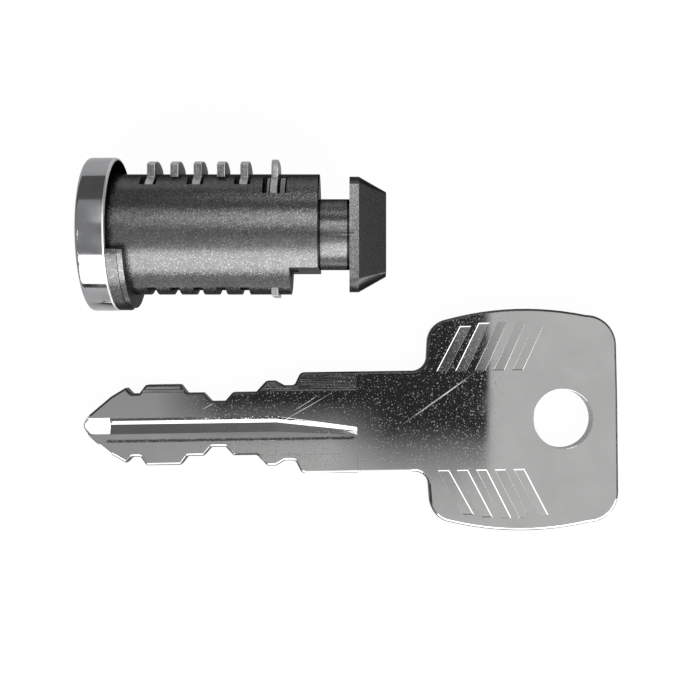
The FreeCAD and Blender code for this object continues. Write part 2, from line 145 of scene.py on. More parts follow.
def new_metal(name):
    """An empty metal, with its tree, its shader and the place in the object's own metres."""
    material = bpy.data.materials.new(name)
    material.use_nodes = True
    tree = material.node_tree
    tree.nodes.clear()
    shader = add(tree, "ShaderNodeBsdfPrincipled", {"Metallic": 1.0})
    add(tree, "ShaderNodeOutputMaterial", links={"Surface": shader.outputs[0]})
    place = add(tree, "ShaderNodeTexCoord").outputs["Object"]
    return material, tree, shader, place


def per_metre(size_mm):
    """A texture scale whose cells are size_mm across."""
    return 1.0 / (size_mm * MM)


# %% [markdown]
# ## Zinc die casting, tumbled
#
# The plug is one casting in a zinc alloy, tumbled and left bare, a dark grey metal with a soft
# sheen. It freezes in small crystals. Most read as one smooth skin, and here and there a clean one is
# left bright, so the body glitters wherever the light is strong. The crystals are drawn 0.1 mm
# across, a little coarser than life, so that they show. A cell pattern gives every crystal a random
# number: the highest ones get a bright colour, and each one tips its normal a little. The two
# corners of the neck are painted near black as shade. The same recipe, lighter as a painted sheen,
# serves the tail's two flats, and a darker one, painted shade and smoother, serves its taper.

# %% Sizes of the cast skin, in millimetres
crystal_mm = 0.1
skin_grain_mm = 0.11
skin_depth_mm = 0.006
cloud_mm = 2.0
# Where the neck's two corners are painted dark as shade, in millimetres along the plug.
shaded_neck_corners = [(21.56, 21.74), (24.62, 24.82)]
neck_shade_blend = 0.05


# %% Zinc die casting
def cast_tone(tree, place, crystal, dark, light, bright_crystal):
    """A cloudy tone between dark and light, with bright crystals and painted shade in the neck's
    corners.
    """
    cloud = add(
        tree, "ShaderNodeTexNoise", {"Scale": per_metre(cloud_mm), "Detail": 4.0}, {"Vector": place}
    )
    tone = add(tree, "ShaderNodeMix", {"data_type": "RGBA"}, {"Factor": cloud.outputs["Fac"]})
    tone.inputs["A"].default_value = linear(dark)
    tone.inputs["B"].default_value = linear(light)
    chance = add(tree, "ShaderNodeSeparateColor", {}, {"Color": crystal.outputs["Color"]})
    spark = ramp(tree, chance.outputs["Blue"], [(0.5, 0.0), (0.85, 0.35), (1.0, 1.0)])
    bright = add(
        tree, "ShaderNodeMix", {"data_type": "RGBA"}, {"Factor": spark, "A": tone.outputs["Result"]}
    )
    bright.inputs["B"].default_value = linear(bright_crystal)
    length_way = add(tree, "ShaderNodeSeparateXYZ", {}, {0: place}).outputs["X"]
    with_neck_shade = bright.outputs["Result"]
    for start_mm, end_mm in shaded_neck_corners:
        begins = rise(tree, length_way, (start_mm - neck_shade_blend) * MM, start_mm * MM)
        stops = rise(tree, length_way, (end_mm + neck_shade_blend) * MM, end_mm * MM)
        # Painted shade: each corner of the neck is mixed toward near black.
        corner = add(
            tree, "ShaderNodeMix", {"data_type": "RGBA", "B": linear("#262626")},
            {"Factor": product(tree, begins, stops), "A": with_neck_shade},
        )
        with_neck_shade = corner.outputs["Result"]
    return with_neck_shade


def zinc_die_casting(name, dark, light, bright_crystal, lean_of_crystals=0.08):
    """Bare cast zinc, whose crystals each lean by a share of the normal's length."""
    material, tree, shader, place = new_metal(name)
    crystal = add(
        tree, "ShaderNodeTexVoronoi",
        {"feature": "F1", "Scale": per_metre(crystal_mm), "Randomness": 1.0}, {"Vector": place},
    )
    skin = add(
        tree, "ShaderNodeTexNoise",
        {"Scale": per_metre(skin_grain_mm), "Detail": 3.0, "Roughness": 0.6}, {"Vector": place},
    )
    tone = cast_tone(tree, place, crystal, dark, light, bright_crystal)
    tree.links.new(tone, shader.inputs["Base Color"])
    gloss = ramp(tree, skin.outputs["Fac"], [(0.3, 0.3), (0.7, 0.23)])
    tree.links.new(gloss, shader.inputs["Roughness"])
    shader.inputs["Specular Tint"].default_value = linear("#7f8082")
    tip = add(tree, "ShaderNodeVectorMath", {"operation": "SUBTRACT"}, {0: crystal.outputs["Color"]})
    tip.inputs[1].default_value = (0.5, 0.5, 0.5)
    lean = add(
        tree, "ShaderNodeVectorMath", {"operation": "SCALE", "Scale": lean_of_crystals},
        {0: tip.outputs[0]},
    )
    rough_skin = add(
        tree, "ShaderNodeBump", {"Strength": 0.3, "Distance": skin_depth_mm * MM},
        {"Height": skin.outputs["Fac"]},
    )
    facing = add(
        tree, "ShaderNodeVectorMath", {"operation": "ADD"},
        {0: rough_skin.outputs["Normal"], 1: lean.outputs[0]},
    )
    facet = add(tree, "ShaderNodeVectorMath", {"operation": "NORMALIZE"}, {0: facing.outputs[0]})
    tree.links.new(facet.outputs[0], shader.inputs["Normal"])
    return material


casting = zinc_die_casting("zinc_die_casting", "#606060", "#6d6d6d", "#929292")
# The tail's flats are painted lighter as a sheen, and its taper is painted darker as shade.
flat_painted_sheen = zinc_die_casting("zinc_flat_painted_sheen", "#868686", "#929292", "#a8a8a8")
taper_painted_shade = zinc_die_casting("zinc_taper_painted_shade", "#5c5c5c", "#606060", "#646464", 0.01)
print("made", casting.name, flat_painted_sheen.name, taper_painted_shade.name)

# %% [markdown]
# ## Chromium-plated brass, polished
#
# The cap is pressed from thin brass, polished and chromium plated. Such a skin is a mirror, so what
# it shows is the room: a dark card, a bright lamp, the pale table. Only a faint haze and a few fine
# rub marks keep it from looking like a computer's mirror.

# %% Sizes of the polish, in millimetres
haze_mm = 1.5
rub_width_mm = 0.06
rub_length_mm = 1.2
rub_depth_mm = 0.002


# %% Chromium plate
def chromium_plate():
    """A mirror skin with a faint haze and fine rub marks that run round the cap."""
    material, tree, shader, place = new_metal("chromium_plated_brass")
    haze = add(
        tree, "ShaderNodeTexNoise", {"Scale": per_metre(haze_mm), "Detail": 5.0}, {"Vector": place}
    )
    around = add(tree, "ShaderNodeMapping", {}, {"Vector": place})
    rub_sizes = (rub_width_mm, rub_length_mm, rub_length_mm)
    around.inputs["Scale"].default_value = [per_metre(size) for size in rub_sizes]
    rub = add(tree, "ShaderNodeTexNoise", {"Scale": 1.0, "Detail": 2.0}, {"Vector": around.outputs[0]})
    tone = ramp(tree, haze.outputs["Fac"], [(0.3, linear("#a9aaac")), (0.7, linear("#b3b4b6"))])
    tree.links.new(tone, shader.inputs["Base Color"])
    gloss = ramp(tree, haze.outputs["Fac"], [(0.35, 0.07), (0.7, 0.13)])
    tree.links.new(gloss, shader.inputs["Roughness"])
    bump = add(
        tree, "ShaderNodeBump", {"Strength": 0.12, "Distance": rub_depth_mm * MM},
        {"Height": rub.outputs["Fac"]},
    )
    tree.links.new(bump.outputs["Normal"], shader.inputs["Normal"])
    return material


chrome = chromium_plate()
print("made", chrome.name)

# %% [markdown]
# ## Stamped steel strip
#
# Wafers, the retaining wafer and the shutter are blanked from strip. The strip keeps the fine grain
# of the rolls, and its faces catch the light in specks. One recipe with a dark tone, a light tone
# and a roughness serves all of them. It serves the drawn spring wire and some small places too: the
# plates' worn edges, painted light as a highlight; the key's cut sides, the inside of the cap and the
# walls of the plug's pockets, painted dark as shade; and the cap's lip, painted light as a highlight.

# %% Sizes of the strip's grain, in millimetres
grain_width_mm = 0.12
grain_length_mm = 0.9
fleck_mm = 0.2
grain_depth_mm = 0.008


# %% Stamped strip
def stamped_strip(name, dark, light, roughness):
    """Rolled metal between two tones, with a grain along Y and small flecks."""
    material, tree, shader, place = new_metal(name)
    stretch = add(tree, "ShaderNodeMapping", {}, {"Vector": place})
    grain_sizes = (grain_width_mm, grain_length_mm, grain_width_mm)
    stretch.inputs["Scale"].default_value = [per_metre(size) for size in grain_sizes]
    grain = add(
        tree, "ShaderNodeTexNoise", {"Scale": 1.0, "Detail": 3.0}, {"Vector": stretch.outputs[0]}
    )
    fleck = add(
        tree, "ShaderNodeTexNoise", {"Scale": per_metre(fleck_mm), "Detail": 2.0}, {"Vector": place}
    )
    mixed = add(
        tree, "ShaderNodeMath", {"operation": "MULTIPLY_ADD", "use_clamp": True},
        {0: grain.outputs["Fac"], 1: fleck.outputs["Fac"]},
    )
    mixed.inputs[2].default_value = 0.22
    tone = ramp(tree, mixed.outputs[0], [(0.38, linear(dark)), (0.6, linear(light))])
    tree.links.new(tone, shader.inputs["Base Color"])
    gloss = ramp(tree, fleck.outputs["Fac"], [(0.3, roughness + 0.08), (0.7, roughness - 0.08)])
    tree.links.new(gloss, shader.inputs["Roughness"])
    bump = add(
        tree, "ShaderNodeBump", {"Strength": 0.5, "Distance": grain_depth_mm * MM},
        {"Height": mixed.outputs[0]},
    )
    tree.links.new(bump.outputs["Normal"], shader.inputs["Normal"])
    return material


wafer_strip = stamped_strip("rolled_steel_strip", "#69696a", "#909091", 0.46)
retainer_strip = stamped_strip("bright_steel_strip", "#9a9a9c", "#c0c0c2", 0.42)
shutter_strip = stamped_strip("shutter_steel_strip", "#8a8a8c", "#b0b0b2", 0.34)
spring_wire = stamped_strip("drawn_spring_wire", "#7c7c7e", "#a6a6a8", 0.4)
# The plates' worn edges, with a painted highlight: their colour is much lighter than the strip.
worn_edge_highlight = stamped_strip("worn_plate_edge_painted_highlight", "#c4c4c4", "#e2e2e2", 0.5)
# Painted shade: the key's steep sides and the rounds that face the wafers are painted dark.
key_side_shade = stamped_strip("key_side_painted_shade", "#3c3c3b", "#5a5a58", 0.34)
# Painted shade: the cap's inner wall and inner end are painted near black.
cap_inside_shade = stamped_strip("cap_inside_painted_shade", "#1e1d1c", "#33312f", 0.5)
# Painted highlight: the round along the cap's rear lip is painted near white.
lip_highlight = stamped_strip("cap_lip_painted_highlight", "#dcdcdc", "#f2f2f2", 0.4)
# Painted shade: the walls of the plug's pockets are painted near black.
pocket_shade = stamped_strip("pocket_wall_painted_shade", "#232324", "#383839", 0.6)
print("made", wafer_strip.name, "and eight more from the same recipe")

# %% [markdown]
# ## Where things lie on the key
#
# The key lies turned by less than a degree. Its finish and the tests further down both need places
# along and across it, so they are measured from the shoulder of the blade, in millimetres.

# %% The key's own measures
key_turn = math.radians(0.85)
key_shoulder = (19.31, -20.84)
key_middle_z = -7.1
key_half_thickness = 1.15
key_face_z = -5.95
ring_hole_along = 29.95
ring_hole_reach = 3.8


def on_key(centre):
    """A place in millimetres along and across the key, from the blade's shoulder."""
    x = centre.x - key_shoulder[0]
    y = centre.y - key_shoulder[1]
    along = x * math.cos(key_turn) + y * math.sin(key_turn)
    across = y * math.cos(key_turn) - x * math.sin(key_turn)
    return along, across


print("key turned by", round(math.degrees(key_turn), 2), "degrees")

# %% [markdown]
# ## Nickel-plated key, worn
#
# The key is stamped, milled and nickel plated, then carried in a pocket. Nickel is a little warmer
# and softer than chromium, and the level faces are close to mirrors. They are sprinkled with small
# pits from a grain of 0.2 mm. Each pit throws the room to one side, so it shows only where a dark and
# a light part of the room meet, which is why the pits are in the bump and never in the colour. The
# pits are strong along the blade and fade out at its tip and on the bow.
#
# Four long scratches cross the blade and the bow, each a thin stroke that tapers at both ends. A
# speckled line along the foot of the blade's step is painted darker. The bands milled along the blade
# are duller, and the cutter's fine lines show in their tone as well as in their bump. The floors of
# the bow's pressed bars are duller than the bow.

# %% Where the wear and the darker line are on the key, in millimetres
# A scratch is two ends and half its width.
scratches = [
    (16.5, -21.1, 23.1, -17.3, 0.05),
    (18.3, -19.6, 21.5, -17.6, 0.04),
    (30.7, -21.2, 39.3, -15.0, 0.07),
    (7.9, -19.4, 9.8, -18.4, 0.04),
]
step_foot_middle = (11.28, -22.75)
step_foot_half_length = 14.4
step_foot_half_width = 0.3
pit_mm = 0.2
pit_depth_mm = 0.007
speckle_mm = 0.3
tarnish_mm = 4.0
furrow_length_mm = 8.0
furrow_width_mm = 0.14
furrow_depth_mm = 0.01
scratch_depth_mm = 0.009
# How strong the pits are at some places along X, over the length that holds the key.
key_reach = 60.0
pit_strength = [(3, 0.03), (10, 0.36), (40, 0.36), (41, 0.05)]


# %% The wear on the nickel, one kind at a time
def grime_line(tree, place):
    """A speckled share of a darker colour along the foot of the blade's step."""
    foot = add(tree, "ShaderNodeMapping", {"vector_type": "TEXTURE"}, {"Vector": place})
    foot.inputs["Location"].default_value = (step_foot_middle[0] * MM, step_foot_middle[1] * MM, 0.0)
    foot.inputs["Rotation"].default_value = (0.0, 0.0, key_turn)
    foot.inputs["Scale"].default_value = (step_foot_half_length * MM, step_foot_half_width * MM, 1.0)
    from_foot = add(tree, "ShaderNodeSeparateXYZ", {}, {0: foot.outputs[0]})
    side_way = add(tree, "ShaderNodeMath", {"operation": "ABSOLUTE"}, {0: from_foot.outputs["Y"]})
    length_way = add(tree, "ShaderNodeMath", {"operation": "ABSOLUTE"}, {0: from_foot.outputs["X"]})
    beside = rise(tree, side_way.outputs[0], 1.0, 0.0)
    within = rise(tree, length_way.outputs[0], 1.0, 0.97)
    speckle = add(
        tree, "ShaderNodeTexNoise", {"Scale": per_metre(speckle_mm), "Detail": 3.0}, {"Vector": place}
    )
    near_foot = product(tree, beside, within)
    return ramp(tree, product(tree, near_foot, speckle.outputs["Fac"]), [(0.12, 0.0), (0.4, 1.0)])


def pitted(tree, place):
    """A bump of small pits, strong along the blade."""
    pit = add(
        tree, "ShaderNodeTexNoise", {"Scale": per_metre(pit_mm), "Detail": 2.0, "Roughness": 0.6},
        {"Vector": place},
    )
    depth = ramp(tree, pit.outputs["Fac"], [(0.27, 0.0), (0.38, 1.0)])
    ends = add(tree, "ShaderNodeSeparateXYZ", {}, {0: place})
    share = add(tree, "ShaderNodeMath", {"operation": "MULTIPLY"}, {0: ends.outputs["X"]})
    share.inputs[1].default_value = per_metre(key_reach)
    stops = [(x_mm / key_reach, strength) for x_mm, strength in pit_strength]
    worn = ramp(tree, share.outputs[0], stops)
    return add(
        tree, "ShaderNodeBump", {"Distance": pit_depth_mm * MM}, {"Height": depth, "Strength": worn}
    )


def scratch_strokes(tree, place):
    """The depth of all the scratches, each one a long round gradient."""
    depth = None
    for x0, y0, x1, y1, half_mm in scratches:
        middle = ((x0 + x1) / 2 * MM, (y0 + y1) / 2 * MM, key_face_z * MM)
        half_length = math.hypot(x1 - x0, y1 - y0) / 2 * MM
        along = add(tree, "ShaderNodeMapping", {"vector_type": "TEXTURE"}, {"Vector": place})
        along.inputs["Location"].default_value = middle
        along.inputs["Rotation"].default_value = (0.0, 0.0, math.atan2(y1 - y0, x1 - x0))
        along.inputs["Scale"].default_value = (half_length, half_mm * MM, 1.0)
        stroke = add(
            tree, "ShaderNodeTexGradient", {"gradient_type": "SPHERICAL"}, {"Vector": along.outputs[0]}
        ).outputs["Fac"]
        if depth is None:
            depth = stroke
        else:
            deepest = add(tree, "ShaderNodeMath", {"operation": "MAXIMUM"}, {0: depth, 1: stroke})
            depth = deepest.outputs[0]
    return depth


# %% Nickel plate
def nickel_plate(name, roughness, cutter_lines):
    """Worn nickel plate. Cutter lines go from 0, none, to 1, black furrows."""
    material, tree, shader, place = new_metal(name)
    tarnish = add(
        tree, "ShaderNodeTexNoise", {"Scale": per_metre(tarnish_mm), "Detail": 4.0}, {"Vector": place}
    )
    plate = ramp(tree, tarnish.outputs["Fac"], [(0.35, linear("#d0d0cf")), (0.65, linear("#d7d7d6"))])
    darkened_at_step = add(
        # The plate is mixed toward a darker grey in a speckled line along the step's foot.
        tree, "ShaderNodeMix", {"data_type": "RGBA", "B": linear("#6e6e6d")},
        {"Factor": grime_line(tree, place), "A": plate},
    )
    gloss = ramp(tree, tarnish.outputs["Fac"], [(0.35, roughness), (0.7, roughness + 0.03)])
    tree.links.new(gloss, shader.inputs["Roughness"])
    stretch = add(tree, "ShaderNodeMapping", {}, {"Vector": place})
    furrow_sizes = (furrow_length_mm, furrow_width_mm, 1.0)
    stretch.inputs["Scale"].default_value = [per_metre(size) for size in furrow_sizes]
    feed = add(
        tree, "ShaderNodeTexNoise", {"Scale": 1.0, "Detail": 2.0}, {"Vector": stretch.outputs[0]}
    )
    furrow = ramp(tree, feed.outputs["Fac"], [(0.4, 1.0 - cutter_lines), (0.52, 1.0)])
    lined = add(
        tree, "ShaderNodeMix", {"data_type": "RGBA", "blend_type": "MULTIPLY", "Factor": 1.0},
        {"A": darkened_at_step.outputs["Result"], "B": furrow},
    )
    tree.links.new(lined.outputs["Result"], shader.inputs["Base Color"])
    milled = add(
        tree, "ShaderNodeBump", {"Strength": cutter_lines, "Distance": furrow_depth_mm * MM},
        {"Height": feed.outputs["Fac"], "Normal": pitted(tree, place).outputs["Normal"]},
    )
    scratched = add(
        tree, "ShaderNodeBump",
        {"Strength": 0.8, "Distance": scratch_depth_mm * MM, "invert": True},
        {"Height": scratch_strokes(tree, place), "Normal": milled.outputs["Normal"]},
    )
    tree.links.new(scratched.outputs["Normal"], shader.inputs["Normal"])
    return material


nickel = nickel_plate("nickel_plated_key", 0.02, 0.0)
milled_nickel = nickel_plate("milled_nickel_band", 0.08, 0.5)
pressed_nickel = nickel_plate("pressed_nickel_bar_floor", 0.1, 0.0)
print("made", nickel.name, milled_nickel.name, pressed_nickel.name)

# %% [markdown]
# ## Worn edges
#
# No stamped or cast piece has a knife edge: the die, the tumbling drum and the pocket round it off,
# and that small round is what draws a bright line along each edge. It could be faked in the shader,
# but real geometry also shows in the outline and stays with the mesh. Each solid whose edges show is
# copied, its flat faces are joined up again from their triangles, and a narrow bevel runs along every
# sharp edge. Some edges are worn more than the rest, so a piece can name rims of its own, each with
# its own width.

# %% How sharp an edge is, in degrees, and how fine the clean-up is
sharp_deg = 28
sharp_flat_deg = 50
level_deg = 0.6
shaded_sharp_deg = 40
merge_mm = 0.0005
# A face is steep when the Z of its normal is less than this.
steep_z = 0.3


# %% Round the edges of a solid
def sharp_edges(shape, angle_deg, outer_only):
    """The edges of a mesh where two faces meet at more than an angle."""
    return [
        edge for edge in shape.edges
        if len(edge.link_faces) == 2 and edge.calc_face_angle(0.0) > math.radians(angle_deg)
        and (edge.is_convex or not outer_only)
    ]


def worn_copy(node_name, finish, edge_mm, rims=(), flat=False):
    """A copy of a solid with rounded edges, which takes the solid's place.

    Each rim is a width in millimetres, a number of facets and a test that picks its edges. All
    other edges get edge_mm and two facets. A flat piece is shaded smooth on its steep sides alone,
    and only its outer edges are rounded.
    """
    source = cad_nodes[node_name]
    mesh = bpy.data.meshes.new(node_name + "_worn")
    shape = bmesh.new()
    shape.from_mesh(source.data)
    bmesh.ops.remove_doubles(shape, verts=shape.verts, dist=merge_mm * MM)
    bmesh.ops.dissolve_limit(
        shape, angle_limit=math.radians(level_deg), use_dissolve_boundaries=False,
        verts=shape.verts, edges=shape.edges,
    )
    shape.normal_update()
    angle_deg = sharp_flat_deg if flat else sharp_deg
    other_edges = (edge_mm, 2, lambda edge: not any(test(edge) for _, _, test in rims))
    for width_mm, facets, wanted in list(rims) + [other_edges]:
        chosen = [edge for edge in sharp_edges(shape, angle_deg, flat) if wanted(edge)]
        bmesh.ops.bevel(
            shape, geom=chosen, offset=width_mm * MM, offset_type="OFFSET", segments=facets,
            profile=0.5, affect="EDGES", clamp_overlap=not flat,
            miter_outer="SHARP", miter_inner="SHARP",
        )
        shape.normal_update()
        print(node_name, "edges rounded", len(chosen), "by", width_mm, "mm")
    shape.to_mesh(mesh)
    shape.free()
    piece = bpy.data.objects.new(node_name + "_worn", mesh)
    bpy.context.scene.collection.objects.link(piece)
    mesh.materials.append(finish)
    mesh.set_sharp_from_angle(angle=math.radians(shaded_sharp_deg))
    if flat:
        for face in mesh.polygons:
            face.use_smooth = abs(face.normal.z) < steep_z
    else:
        even = piece.modifiers.new("even_normals", "WEIGHTED_NORMAL")
        even.keep_sharp = True
    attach(piece, source["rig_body"])
    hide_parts(node_name)
    return piece


def edge_middle(edge):
    """The middle of an edge, in millimetres."""
    return (edge.verts[0].co + edge.verts[1].co) / 2 / MM


# %% [markdown]
# ## The plug, its cap and its plates
#
# The casting has the softest edges, about 0.1 mm. The pressed cap is crisp, with mirror sides, but
# its rear lip is turned in, so it gets a wide round. Each wafer is a thin plate, so its edge is finer.

# %% Round the plug and its plates
plug = worn_copy("plug_body", casting, 0.1)
retainer = worn_copy("retainer_wafer", retainer_strip, 0.07)
wafers = [worn_copy("wafer_" + str(number), wafer_strip, 0.07) for number in range(1, 6)]
plates = [retainer] + wafers

# %% [markdown]
# The second wafer's window reaches up into its ear, where the real ear is whole. The copy's window
# ends under the plug's surface, so that the ear's side is closed.

# %% Close the second wafer's ear, in millimetres
window_half_width = 1.5
window_end_low = 6.3
window_end_high = 7.6
window_drop = 1.0
second_wafer = wafers[1]
for corner in second_wafer.data.vertices:
    in_window = abs(corner.co.z) < window_half_width * MM
    if in_window and window_end_low * MM < corner.co.y < window_end_high * MM:
        corner.co.y -= window_drop * MM
print("closed the ear of", second_wafer.name)


# %% Round the cap
cap_radius = cad_box[1][2] / MM


def rear_lip(edge):
    """True for the cap's outer rear edge."""
    middle = edge_middle(edge)
    return middle.x > -0.1 and math.hypot(middle.y, middle.z) > cap_radius - 0.2


cap = worn_copy("face_cap", chrome, 0.05, rims=[(0.24, 2, rear_lip)])

# %% [markdown]
# ## Where the lock's finish changes
#
# A piece is not the same all over. The cap is plated outside and painted dark inside as shade, and
# its rear lip is painted light as a highlight. The plug's pocket walls are painted dark as shade, the
# tail's flats lighter as a sheen and its taper darker as shade, and the plates' worn edges, which
# rub, are painted light as a highlight. Each small test below looks at a face's middle, in
# millimetres, and at its normal, and says if a finish belongs there.

# %% Where the parts of the lock lie, in millimetres
pocket_radius = 6.1
pocket_start_x = 0.5
pocket_end_x = 20.0
pocket_low_y = -6.2
tail_x = 24.6
tail_flat_z = 3.7
taper_x = 25.6
cap_end_x = -1.0
lip_x = -0.3
# A face is level when the Z of its normal is more than this.
level = 0.99


# %% Tests that pick faces
def refinish(node_name, finish):
    """Keeps a solid as it is and gives it a finish."""
    mesh = cad_nodes[node_name].data
    mesh.materials.clear()
    mesh.materials.append(finish)


def add_finish(piece, finish, wanted):
    """Gives the faces that a test picks one more finish."""
    piece.data.materials.append(finish)
    for face in piece.data.polygons:
        if wanted(face.center / MM, face.normal):
            face.material_index = len(piece.data.materials) - 1


def inside_cap(centre, normal):
    """True for the cap's inner wall and inner end."""
    outward = centre.y * normal.y + centre.z * normal.z
    return outward < -1.0 or (normal.x > 0.9 and centre.x < cap_end_x)


def in_pocket(centre, normal):
    """True for the walls inside the body, which are painted dark as shade."""
    deep = math.hypot(centre.y, centre.z) < pocket_radius
    return deep and pocket_start_x < centre.x < pocket_end_x and centre.y > pocket_low_y


def on_flat(centre, normal):
    """True for the tail's two flats, which are painted lighter as a sheen."""
    return abs(normal.z) > level and centre.x > tail_x and abs(centre.z) > tail_flat_z


def on_taper(centre, normal):
    """True for the tail's tapered sides, which the die left smooth and which are painted darker as
    shade.
    """
    return normal.x > 0.3 and centre.x > taper_x


def on_round(centre, normal):
    """True for a plate's worn edges and round ends, which rub in the housing and are painted light as a
    highlight.
    """
    return max(abs(part) for part in normal) < 0.97


def on_lip(centre, normal):
    """True for the narrow round along the cap's outer rear edge, which is painted light as a highlight.
    """
    outward = centre.y * normal.y + centre.z * normal.z
    return centre.x > lip_x and outward > 0.5 and 0.1 < normal.x < 0.98


# %% Finish the lock
add_finish(cap, lip_highlight, on_lip)
add_finish(plug, pocket_shade, in_pocket)
add_finish(plug, flat_painted_sheen, on_flat)
add_finish(plug, taper_painted_shade, on_taper)
add_finish(cap, cap_inside_shade, inside_cap)
for plate in plates:
    add_finish(plate, worn_edge_highlight, on_round)
refinish("dust_shutter", shutter_strip)
refinish("shutter_pin", spring_wire)
print("finished the plug, its cap and", len(plates), "plates")

# %% [markdown]
# ## The springs
#
# A coil is stiff wire, but it gets shorter when its wafer goes in. A rigid copy would stick out
# through the wafer's ear. Each spring's copy here is still rigid: it gets the drawn wire finish and
# takes the spring's place, and the foot and the head that it works out are not used. The retainer's
# bent strip and the shutter's coil are copied in the same way.


# %% Copies of the springs
def pressed_spring(node_name, whole_mm=0.0, foot_is_high=False):
    """A copy of a spring in the drawn wire finish, which takes the spring's place.

    It works out a foot, the spring's low end along Y or its high end, and a head at the other end,
    each whole_mm in from its end, but uses neither.
    """
    source = cad_nodes[node_name]
    piece = bpy.data.objects.new(node_name + "_pressed", source.data.copy())
    bpy.context.scene.collection.objects.link(piece)
    piece.matrix_world = source.matrix_world
    piece.data.materials.clear()
    piece.data.materials.append(spring_wire)
    low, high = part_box(node_name)
    foot = ((low[0] + high[0]) / 2, low[1] + whole_mm * MM, (low[2] + high[2]) / 2)
    head = (foot[0], high[1] - whole_mm * MM, foot[2])
    if foot_is_high:
        foot, head = head, foot
    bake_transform(piece)
    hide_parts(node_name)
    return piece


springs = [
    pressed_spring("wafer_spring_" + str(number)) for number in range(1, 6)
]
springs.append(pressed_spring("retainer_spring"))
springs.append(pressed_spring("shutter_spring", whole_mm=0.3, foot_is_high=True))
print("springs that give way", len(springs))

# %% [markdown]
# ## The key
#
# The key's bright outline comes from its rounded edges, so the tall edges of its outline get the
# widest bevel that its narrow cuts allow, and the pressed bars of the bow a narrower one. The faces
# stay flat, because the level ones are mirrors that a smooth normal would bend. The steep sides
# are painted dark as shade, and so are the roundings that face the wafers.

# %% Where the key's forms lie, in millimetres along and across the key
bars_along = (15.0, 30.0)
bars_across = (5.0, 11.0)
bar_slant = 0.55
slanted_bars_along = (14.5, 27.0)
slanted_bars_across = (5.0, 11.4)
sunk_mm = 0.05
tip_along = -24.0
tip_side_along = -20.5
tip_half_width = 1.1
slope_along = -19.0
groove_end = 7.0
groove_half_width = 2.4
shank_along = 10.0
step_across = (-4.0, -3.3)
band_across = 3.6
band_end = 6.5
tall_side = 1.0
tall_side_on_tip = 0.5
# How far a face may lean before it counts as a side: the Z of its normal, toward the wafers, where
# the round of the edge is dark too, and elsewhere.
lean_toward_wafers = 0.995
lean_elsewhere = 0.8


# %% Tests that pick the key's edges and faces
def in_bars(along, across):
    """True for places among the ten grip bars."""
    return bars_along[0] < along < bars_along[1] and bars_across[0] < abs(across) < bars_across[1]


def in_slanted_bars(along, across):
    """True for places within the slanted field that the bars fill."""
    straight = along - bar_slant * (abs(across) - slanted_bars_across[0])
    beside = slanted_bars_across[0] < abs(across) < slanted_bars_across[1]
    return slanted_bars_along[0] < straight < slanted_bars_along[1] and beside


def from_ring_hole(along, across):
    """The distance from the middle of the ring hole."""
    return math.hypot(along - ring_hole_along, across)


def sunk(centre):
    """True for a place below the key's level faces."""
    return key_half_thickness - abs(centre.z - key_middle_z) > sunk_mm


def outline_rim(edge):
    """True where the key's level face meets the tall side of its outline."""
    top, side = sorted(edge.link_faces, key=lambda face: -abs(face.normal.z))
    heights = [corner.co.z / MM for corner in side.verts]
    along, across = on_key(edge_middle(edge))
    upright = abs(top.normal.z) > level and abs(side.normal.z) < 0.05
    on_tip = along < tip_along or (along < tip_side_along and abs(across) > tip_half_width)
    tall = max(heights) - min(heights) > (tall_side_on_tip if on_tip else tall_side)
    return upright and tall and from_ring_hole(along, across) > ring_hole_reach


def bar_rim(edge):
    """True for the edges of the ten grip bars pressed into the bow."""
    return in_bars(*on_key(edge_middle(edge))) and not outline_rim(edge)


def cut_side(centre, normal):
    """True for the key's steep outer sides, which are painted dark as shade."""
    along, across = on_key(centre)
    on_slope = along < slope_along and abs(across) > tip_half_width and normal.x < -0.1
    in_groove = along < groove_end and abs(across) < groove_half_width and not on_slope
    in_hole = from_ring_hole(along, across) < ring_hole_reach
    faces_wafers = normal.y > -0.05 and (across > 0.0 or along > shank_along)
    leaning = abs(normal.z) < (lean_toward_wafers if faces_wafers else lean_elsewhere)
    at_step = step_across[0] < across < step_across[1] and abs(along) < groove_end
    on_step = at_step and abs(normal.z) < lean_toward_wafers
    return on_step or leaning and not (in_slanted_bars(along, across) or in_groove or in_hole)


def milled_band(centre, normal):
    """True for the floors of the bands along the blade."""
    along, across = on_key(centre)
    return sunk(centre) and abs(normal.z) > level and across > band_across and along < band_end


def bar_floor(centre, normal):
    """True for the floors of the ten grip bars, which the die pressed and dulled."""
    return sunk(centre) and abs(normal.z) > level and in_bars(*on_key(centre))


# %% Dress the key
key = worn_copy("key", nickel, 0.05, rims=[(0.26, 3, outline_rim), (0.1, 2, bar_rim)], flat=True)
add_finish(key, key_side_shade, cut_side)
add_finish(key, milled_nickel, milled_band)
add_finish(key, pressed_nickel, bar_floor)
print("key finished in", len(key.data.materials), "ways")

# %% [markdown]
# ## Table
#
# The picture is taken straight down on a white table. The table is near white to the camera, weaker
# in reflections, and still takes a faint shadow: a share of it glows and the rest is plain laminate.

# %% How much of the table glows, and the size of its grain in millimetres
paper_mm = 3.0
glow_to_camera = 0.96
glow_to_mirrors = 0.6
glow_strength_in_mirrors = 0.3


